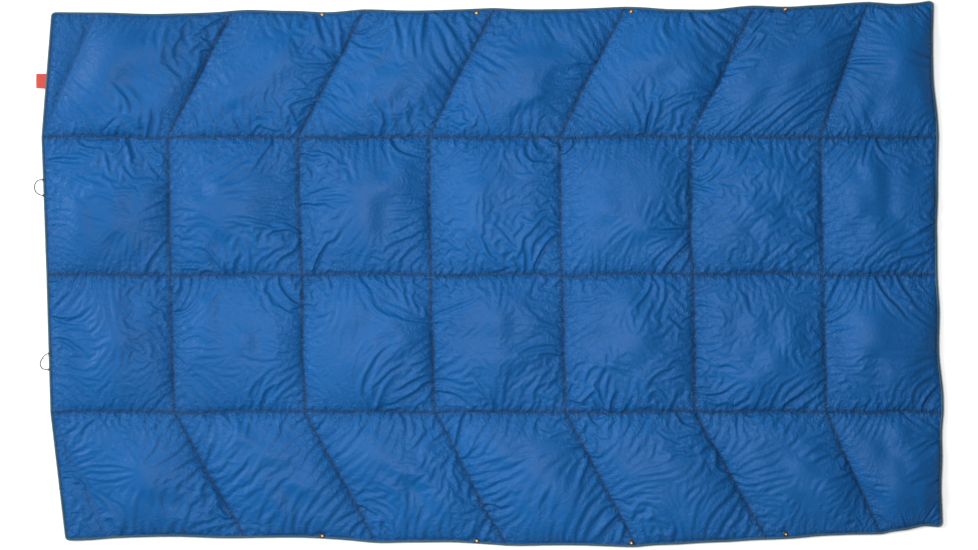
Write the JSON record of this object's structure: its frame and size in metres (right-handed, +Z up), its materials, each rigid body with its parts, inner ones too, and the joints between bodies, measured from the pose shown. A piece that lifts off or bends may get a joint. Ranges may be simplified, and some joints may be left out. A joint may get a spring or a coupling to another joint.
{
  "type": "camp quilt",
  "caption": "Rectangular quilted blanket with rows of filled chambers, slanted in the outer rows, a bound hem, press studs on the long hems, cord loops and a cloth tab.",
  "frame": {"origin": "on the floor, at the centre of the box round everything but the cord loops", "axes": "+X along the quilt, away from the hem with the cord loops; +Y across it to the hem with the studs; +Z up, out of the face fabric"},
  "size_m": [2.0492, 1.2311, 0.0345],
  "materials": {
    "face_fabric": "plain-woven nylon, slight sheen",
    "lining_fabric": "plain-woven nylon, slight sheen",
    "filling": "loose short-fibre synthetic wadding",
    "binding_tape": "folded grosgrain tape",
    "stitching": "twisted polyester thread",
    "snap_metal": "gunmetal",
    "snap_spring": "bright wire",
    "tab_cloth": "woven ribbon",
    "cord": "braided cord"
  },
  "bodies": {
    "near_half": {"binding_thread_near": "stitching", "cross_seam_thread_near": "stitching", "face_fabric_near": "face_fabric", "fill_near_inner_1": "filling", "fill_near_inner_2": "filling", "fill_near_inner_3": "filling", "fill_near_inner_4": "filling", "fill_near_inner_5": "filling", "fill_near_inner_6": "filling", "fill_near_inner_7": "filling", "fill_near_outer_1": "filling", "fill_near_outer_2": "filling", "fill_near_outer_3": "filling", "fill_near_outer_4": "filling", "fill_near_outer_5": "filling", "fill_near_outer_6": "filling", "fill_near_outer_7": "filling", "fill_near_outer_8": "filling", "fold_seam_thread": "stitching", "hem_binding_near": "binding_tape", "lining_fabric_near": "lining_fabric", "loop_bartacks_near": "cord", "row_seam_thread_near": "stitching", "snap_caps_near": "snap_metal", "snap_sockets_near": "snap_metal", "snap_springs_near": "snap_spring"},
    "far_half": {"binding_thread_far": "stitching", "cross_seam_thread_far": "stitching", "face_fabric_far": "face_fabric", "fill_far_inner_1": "filling", "fill_far_inner_2": "filling", "fill_far_inner_3": "filling", "fill_far_inner_4": "filling", "fill_far_inner_5": "filling", "fill_far_inner_6": "filling", "fill_far_inner_7": "filling", "fill_far_outer_1": "filling", "fill_far_outer_2": "filling", "fill_far_outer_3": "filling", "fill_far_outer_4": "filling", "fill_far_outer_5": "filling", "fill_far_outer_6": "filling", "fill_far_outer_7": "filling", "fill_far_outer_8": "filling", "hem_binding_far": "binding_tape", "lining_fabric_far": "lining_fabric", "loop_bartacks_far": "cord", "row_seam_thread_far": "stitching", "snap_caps_far": "snap_metal", "snap_studs_far": "snap_metal", "tab_stitches": "stitching"},
    "tab": {"cloth_tab": "tab_cloth"},
    "far_loop": {"cord_loop_far": "cord"},
    "near_loop": {"cord_loop_near": "cord"}
  },
  "joints": [
    {"name": "lengthwise_fold", "type": "hinge", "parent": "near_half", "child": "far_half", "pos_m": [0, 0, 0.0349], "axis": [1, 0, 0], "range_deg": [0, 180]},
    {"name": "tab_hinge", "type": "hinge", "parent": "far_half", "child": "tab", "pos_m": [-1.00223, 0.436, 0.006], "axis": [0, 1, 0], "range_deg": [0, 90]},
    {"name": "far_loop_hinge", "type": "hinge", "parent": "far_half", "child": "far_loop", "pos_m": [-1.00715, 0.19597, 0.006], "axis": [-0.0355, 0.9994, 0], "range_deg": [0, 90]},
    {"name": "near_loop_hinge", "type": "hinge", "parent": "near_half", "child": "near_loop", "pos_m": [-0.99451, -0.19603, 0.006], "axis": [-0.029, 0.9996, 0], "range_deg": [0, 90]}
  ]
}
